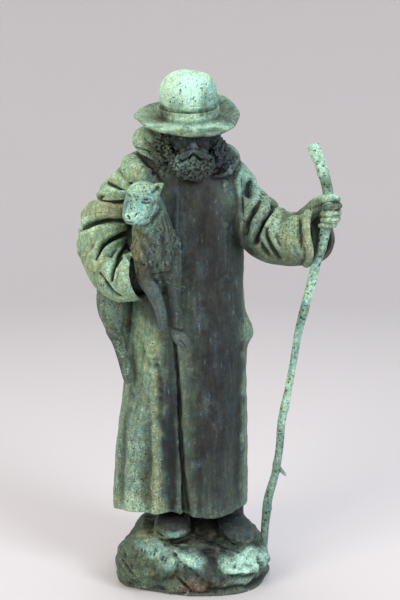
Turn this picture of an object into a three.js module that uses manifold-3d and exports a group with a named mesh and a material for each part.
// A cast bronze shepherd in a broad hat and a long coat. He stands on a rock, carries a lamb on
// his right arm and holds a branch as a staff. The figure, lamb and rock are one casting, and the
// staff is a second one that passes through the fist and stands in a socket in the rock.
// Millimetres. +Z is up, the shepherd faces -Y, and the origin is on the rock's flat underside.
import * as THREE from "three";
import { mergeVertices } from "three/addons/utils/BufferGeometryUtils.js";
import Module from "manifold-3d";

const wasm = await Module();
wasm.setup();

// Driving dimensions
const HEIGHT = 870; // rock's underside to the crown of the hat
const ROCK_HALF_WIDTH = 134;
const ROCK_FRONT = 119; // from the origin forwards
const ROCK_BACK = 98; // from the origin backwards
const PLATEAU = 84; // where the boots stand
const HEM = 122; // lowest edge of the coat
const BRIM_RADIUS = 82;
const CROWN_RADIUS = 49;
const STAFF_PLAY = 0.6; // clearance all round between the staff and its sockets

const TURN = 2 * Math.PI;
const at = (x, y, z) => new THREE.Vector3(x, y, z);
const { lerp, smoothstep, degToRad } = THREE.MathUtils;

// A closed geometry as a solid that can be joined and cut.
function solid(geometry) {
  const bare = geometry.clone();
  bare.deleteAttribute("normal");
  bare.deleteAttribute("uv");
  const merged = mergeVertices(bare, 1e-3);
  return new wasm.Manifold(
    new wasm.Mesh({
      numProp: 3,
      vertProperties: merged.attributes.position.array,
      triVerts: new Uint32Array(merged.index.array),
    }),
  );
}

const join = (...parts) => parts.flat().reduce((all, part) => all.add(part));

// Skins a stack of closed rings that run anticlockwise round the way the stack climbs.
function skin(rings) {
  const count = rings[0].length;
  const middle = (ring) => ring.reduce((sum, p) => sum.add(p), at(0, 0, 0)).divideScalar(count);
  const points = [...rings.flat(), middle(rings[0]), middle(rings.at(-1))];
  const below = rings.length * count;
  const lastRing = below - count;
  const faces = [];
  for (let i = 0; i < count; i++) {
    const next = (i + 1) % count;
    for (let base = 0; base < lastRing; base += count) {
      const [a, b] = [base + i, base + next];
      faces.push(a, b, a + count, b, b + count, a + count);
    }
    faces.push(below, next, i, below + 1, lastRing + i, lastRing + next);
  }
  return solid(new THREE.BufferGeometry().setFromPoints(points).setIndex(faces));
}

// An ellipsoid, leaned about X and then turned about Z, in degrees.
function ball(centre, radii, { lean = 0, turn = 0, sides = 10 } = {}) {
  const geometry = new THREE.SphereGeometry(1, sides, Math.ceil(sides * 0.5));
  geometry.rotateX(Math.PI / 2).scale(...radii);
  geometry.rotateX(degToRad(lean)).rotateZ(degToRad(turn));
  return solid(geometry.translate(...centre));
}

// Reads a list of stations such as [[share, value], ...] at one share, smoothly.
function along(stations, share) {
  const next = stations.findIndex(([at]) => at >= share);
  if (next < 0) return stations.at(-1)[1];
  if (next === 0) return stations[0][1];
  const [[from, low], [to, high]] = [stations[next - 1], stations[next]];
  return lerp(low, high, smoothstep(share, from, to));
}

// A round limb through points with a radius at each. pleat(angle, share) adds to the radius.
function limb(points, radii, { sides = 10, steps = 5, pleat = () => 0, round = true } = {}) {
  const curve = new THREE.CatmullRomCurve3(points.map((p) => at(...p)));
  const frames = curve.computeFrenetFrames(steps);
  const rings = frames.normals.map((normal, k) => {
    const share = k / steps;
    const place = share * (radii.length - 1);
    const cell = Math.min(Math.floor(place), radii.length - 2);
    const radius = lerp(radii[cell], radii[cell + 1], place - cell);
    const centre = curve.getPointAt(share);
    return Array.from({ length: sides }, (_, i) => {
      const angle = (TURN * i) / sides;
      const reach = radius + pleat(angle, share);
      return centre
        .clone()
        .addScaledVector(normal, reach * Math.cos(angle))
        .addScaledVector(frames.binormals[k], reach * Math.sin(angle));
    });
  });
  const tube = skin(rings);
  if (!round) return tube;
  const radius = radii.at(-1) * 0.98;
  return tube.add(ball(points.at(-1), [radius, radius, radius], { sides: Math.min(sides, 10) }));
}

// The rock: broad below, broken into facets, and rising from his left foot to his right.
function rock() {
  const sides = 32;
  const levels = [[0, 0.98], [0.2, 1.01], [0.5, 1.01], [0.74, 0.96], [0.92, 0.88], [1, 0.78], [1.03, 0.4]];
  const rise = (angle) => PLATEAU * (0.94 - 0.2 * Math.cos(angle) - 0.06 * Math.sin(angle));
  const rings = levels.map(([height, share]) =>
    Array.from({ length: sides }, (_, i) => {
      const angle = (TURN * i) / sides;
      const [c, s] = [Math.cos(angle), Math.sin(angle)];
      const square = (Math.abs(c) ** 3 + Math.abs(s) ** 3) ** (-1 / 3);
      const facet = height > 0 ? 3.5 * Math.sin(5 * angle + 6 * height) + 2.5 * Math.sin(9 * angle) : 0;
      const reach = square * share;
      const depth = s < 0 ? ROCK_FRONT : ROCK_BACK;
      const level = height === 0 ? 0 : lerp(height * PLATEAU, height * rise(angle), share);
      return at((ROCK_HALF_WIDTH * reach + facet) * c + 3, (depth * reach + facet) * s, level);
    }),
  );
  const staffBoss = ball([127, -42, 42], [15, 16, 20]);
  const ridge = ball([22, -84, 42], [74, 36, 30], { turn: -8 });
  return join(skin(rings), staffBoss, ridge);
}

// The coat's build at each height: middle, half width and half depth.
const COAT = [
  { z: HEM, x: -16, y: 0, wide: 115, deep: 82 },
  { z: 160, x: -15, y: -1, wide: 113, deep: 80 },
  { z: 230, x: -13, y: -2, wide: 111, deep: 77 },
  { z: 300, x: -9, y: -4, wide: 107, deep: 74 },
  { z: 370, x: -5, y: -6, wide: 102, deep: 71 },
  { z: 450, x: -4, y: -7, wide: 97, deep: 69 },
  { z: 530, x: -3, y: -7, wide: 93, deep: 68 },
  { z: 610, x: -3, y: -4, wide: 93, deep: 69 },
  { z: 670, x: -4, y: 1, wide: 94, deep: 66 },
  { z: 705, x: -5, y: 3, wide: 82, deep: 57 },
  { z: 730, x: -4, y: -2, wide: 60, deep: 44 },
  { z: 752, x: -2, y: -8, wide: 44, deep: 38 },
  { z: 775, x: 0, y: -20, wide: 40, deep: 36 },
];
const LAP = { top: 432, low: 162, angleTop: 4.62, angleLow: 4.8, step: 7 }; // the front edge of the coat
const POCKET = { z: 442, angle: -0.25, swell: 14, tall: 30 };

// The coat: a boxy oval with flutes that fade towards the chest. Its left side laps over the right,
// so every ring starts at the lapping edge.
function coat() {
  const [sides, floors] = [42, 24];
  const read = (key, z) => along(COAT.map((row) => [row.z, row[key]]), z);
  const rings = Array.from({ length: floors + 1 }, (_, k) => {
    const z = lerp(HEM, COAT.at(-1).z, k / floors);
    const fade = 1 - smoothstep(z, HEM, 520);
    const edge = lerp(LAP.angleLow, LAP.angleTop, smoothstep(z, LAP.low, LAP.top));
    const lapStep = LAP.step * (1 - smoothstep(z, LAP.top, 540));
    return Array.from({ length: sides }, (_, i) => {
      const share = (i + 0.5) / sides;
      const angle = edge + TURN * share;
      const [c, s] = [Math.cos(angle), Math.sin(angle)];
      const square = (Math.abs(c) ** 2.5 + Math.abs(s) ** 2.5) ** (-1 / 2.5);
      const flute = fade * (3.4 * Math.sin(8 * angle + 1.4) + 1.8 * Math.sin(13 * angle));
      const lap = lapStep * (1 - smoothstep(share, 0, 0.2) - smoothstep(share, 0.94, 1));
      const besidePocket = Math.max(0, Math.cos(angle - POCKET.angle)) ** 6;
      const pocket = POCKET.swell * besidePocket * Math.exp(-(((z - POCKET.z) / POCKET.tall) ** 2));
      const reach = (radius) => radius * square + flute + lap + pocket;
      return at(read("x", z) + reach(read("wide", z)) * c, read("y", z) + reach(read("deep", z)) * s, z);
    });
  });
  const underArm = ball([-102, -2, 606], [26, 36, 84]);
  return join(skin(rings), underArm);
}

// Legs below the hem and round-toed boots, turned out a little.
function boot(x, toeOut, sole) {
  const parts = [
    ball([0, -42, sole + 12], [28, 46, 19]),
    ball([0, 4, sole + 12], [25, 32, 20]),
    limb([[0, -4, sole + 4], [0, -2, HEM + 14]], [25, 30], { steps: 1, round: false }),
  ];
  const floor = at(0, 0, 1);
  return join(parts).trimByPlane(floor, sole - 6).rotate([0, 0, toeOut]).translate([x, -12, 0]);
}

// A wide sleeve: a limb whose cloth is thrown into rolls across the arm.
function sleeve(points, radii, rolls, depth) {
  const pleat = (angle, share) =>
    depth * Math.sin(TURN * (rolls * share + 0.16 * Math.cos(angle))) * Math.sin(Math.PI * share);
  return limb(points, radii, { sides: 16, steps: 18, pleat, round: false });
}

const CUFF = { centre: [203, -84, 612], radius: 41 };

// Both arms: the one round the lamb ends at its cuff, and the one with the staff has an open cuff.
function arms() {
  const lambArm = sleeve(
    [[-30, 4, 704], [-84, 0, 694], [-119, -4, 652], [-146, -12, 602], [-137, -48, 552], [-96, -88, 520]],
    [30, 35, 38, 41, 40, 31], 5, 5.5,
  );
  const staffArm = sleeve(
    [[30, 4, 700], [70, 0, 697], [94, -12, 654], [124, -38, 612], [165, -62, 609], CUFF.centre],
    [28, 32, 36, 45, 45, CUFF.radius], 4.5, 4.5,
  );
  const mouth = limb(
    [[176, -67, 611], CUFF.centre, [232, -102, 613]],
    [CUFF.radius - 16, CUFF.radius - 6, CUFF.radius + 4], { steps: 3, sides: 14, round: false },
  );
  return join(lambArm, staffArm.subtract(mouth));
}

// The fist round the staff: wrist, back of the hand, thumb on top and four fingers in front.
function hand() {
  const fingers = [652, 643, 634, 626].map((z, i) =>
    limb([[236 - i, -90, z], [229 - i, -110, z], [207, -108, z - 1]], [6.5, 7.5, 6], { steps: 2, sides: 6 }),
  );
  return join(
    ball([214, -94, 644], [22, 17, 24], { sides: 9 }),
    limb([[182, -70, 630], [199, -83, 650], [212, -92, 660]], [19, 17, 13], { steps: 2, sides: 8 }),
    limb([[206, -98, 664], [222, -106, 668], [236, -96, 664]], [9, 8, 7], { steps: 2, sides: 7 }),
    fingers,
  );
}

// The head with its nose, thick hair and a full curly beard.
function head() {
  const curls = [[-22, -70, 730], [34, -70, 730], [-16, -86, 712], [28, -86, 712], [5, -92, 706]];
  return join(
    ball([2, -34, 764], [46, 45, 46], { sides: 12 }),
    ball([4, -58, 748], [34, 29, 36]),
    limb([[6, -84, 766], [7, -91, 752]], [5, 7.5], { steps: 2, sides: 8 }),
    ball([4, -70, 722], [42, 30, 30], { sides: 12 }),
    curls.map((curl) => ball(curl, [15, 14, 14], { sides: 9 })),
  );
}

// The hood thrown back: a cowl that hugs the neck, high over his right shoulder and furred over his
// left, with a front edge under the beard and a bag of cloth between the shoulders.
function hood() {
  return join(
    ball([-4, 4, 722], [80, 54, 40], { sides: 14 }),
    ball([-46, 6, 742], [36, 38, 33]),
    ball([42, -6, 728], [34, 38, 24]),
    ball([-4, 50, 694], [58, 26, 60], { sides: 12 }),
    limb([[-70, -22, 726], [-42, -58, 720], [-4, -76, 700]], [14, 13, 9], { steps: 3 }),
  );
}

// The hat: a domed crown with a band, and a brim that droops in front and curls up at the sides.
function hat() {
  const lean = 13;
  const sides = 28;
  const profile = [
    [BRIM_RADIUS, 2.2], [BRIM_RADIUS - 2, 5], [66, 6.5], [CROWN_RADIUS + 3, 9], [CROWN_RADIUS + 2, 23],
    [CROWN_RADIUS, 25], [CROWN_RADIUS, 45], [45, 60], [35, 71], [20, 77.5], [6, 79],
  ];
  const under = [[6, -6], [40, -5], [66, -1], [BRIM_RADIUS - 2, 0]];
  const curlAt = (angle, radius) => {
    const side = Math.cos(angle - degToRad(24)) ** 2;
    const lift = 24 * side * (Math.cos(angle) > 0 ? 1 : 0.5) - 7 * Math.max(0, -Math.sin(angle));
    return lift * smoothstep(radius, CROWN_RADIUS + 2, BRIM_RADIUS) ** 1.5;
  };
  const rings = [...under, ...profile].map(([radius, height]) =>
    Array.from({ length: sides }, (_, i) => {
      const angle = (TURN * i) / sides;
      const z = height + (radius > CROWN_RADIUS ? curlAt(angle, radius) : 0);
      return at(radius * Math.cos(angle), radius * Math.sin(angle), z);
    }),
  );
  const leaned = skin(rings).rotate([lean, 0, 0]);
  return leaned.translate([-2, -30, HEIGHT - leaned.boundingBox().max[2]]);
}

// The lamb: head, muzzle and ears, neck and chest, body under the arm, and the hanging legs.
function lamb() {
  const ear = (root, tip) => limb([root, tip], [9, 2.5], { steps: 1, sides: 7 });
  const leg = (points, radii) => limb(points, radii, { steps: 4, sides: 8 });
  return join(
    ball([-72, -104, 674], [26, 26, 26]),
    limb([[-74, -108, 668], [-84, -122, 656], [-89, -131, 647]], [22, 18, 13], { steps: 2, sides: 9 }),
    ear([-60, -98, 688], [-47, -102, 696]),
    ear([-92, -92, 678], [-120, -82, 675]),
    limb([[-70, -88, 668], [-62, -84, 632], [-56, -78, 598], [-52, -70, 560]], [24, 31, 36, 36]),
    limb([[-50, -62, 568], [-90, -58, 545], [-124, -46, 512]], [34, 34, 30], { steps: 3 }),
    leg([[-62, -74, 584], [-62, -98, 540], [-50, -94, 498], [-41, -84, 462]], [22, 17, 12, 9]),
    leg([[-34, -70, 590], [-24, -86, 524], [-18, -82, 476], [-12, -82, 450]], [20, 13, 10, 9]),
    ball([-9, -86, 445], [10, 13, 11], { sides: 8 }),
    leg([[-110, -46, 540], [-124, -50, 500], [-120, -55, 452]], [26, 28, 14]),
    leg([[-120, -55, 456], [-111, -56, 412], [-103, -56, 374]], [14, 11, 9]),
  );
}

// The staff's line from its foot to its tip, and its radius at those points.
const STAFF = {
  line: [
    [127, -42, 40], [130, -44, 95], [134, -47, 144], [149, -53, 215], [155, -61, 293], [168, -72, 375],
    [179, -82, 454], [203, -94, 564], [215, -98, 613], [219, -98, 660], [215, -97, 700], [194.5, -95, 754],
  ],
  radii: [7, 7.2, 7.2, 7, 6.4, 6.3, 6.4, 7.6, 8.2, 8.6, 9, 9.6],
};

function staff(play) {
  const radii = STAFF.radii.map((radius) => radius + play);
  const knots = (angle, share) => (play ? 0.4 : 0.4 * Math.sin(2 * angle + 30 * share));
  const rod = limb(STAFF.line, radii, { sides: 8, steps: 28, pleat: knots });
  if (play) return rod;
  return join(rod, limb([[152, -52, 203], [162, -53, 194]], [4, 2.2], { steps: 1, sides: 6 }));
}

// A solid as a named mesh in its own colour.
function piece(name, body, color, roughness) {
  const { numProp, vertProperties, triVerts } = body.getMesh();
  const geometry = new THREE.BufferGeometry()
    .setAttribute("position", new THREE.BufferAttribute(new Float32Array(vertProperties), numProp))
    .setIndex(new THREE.BufferAttribute(new Uint32Array(triVerts), 1));
  geometry.computeVertexNormals();
  const mesh = new THREE.Mesh(geometry, new THREE.MeshStandardMaterial({ color, roughness, metalness: 0.4 }));
  mesh.name = name;
  return mesh;
}

const underside = at(0, 0, 1);
const figure = join(
  rock(), coat(), boot(-30, -6, PLATEAU + 2), boot(68, 14, PLATEAU - 6),
  arms(), hand(), head(), hood(), hat(), lamb(),
)
  .subtract(staff(STAFF_PLAY))
  .trimByPlane(underside, 0);

const shepherd = new THREE.Group();
shepherd.name = "shepherd_with_lamb";
shepherd.add(piece("shepherd_casting", figure, 0x5f7a66, 0.7));
shepherd.add(piece("staff", staff(0), 0x7fa48c, 0.7));

export default shepherd;
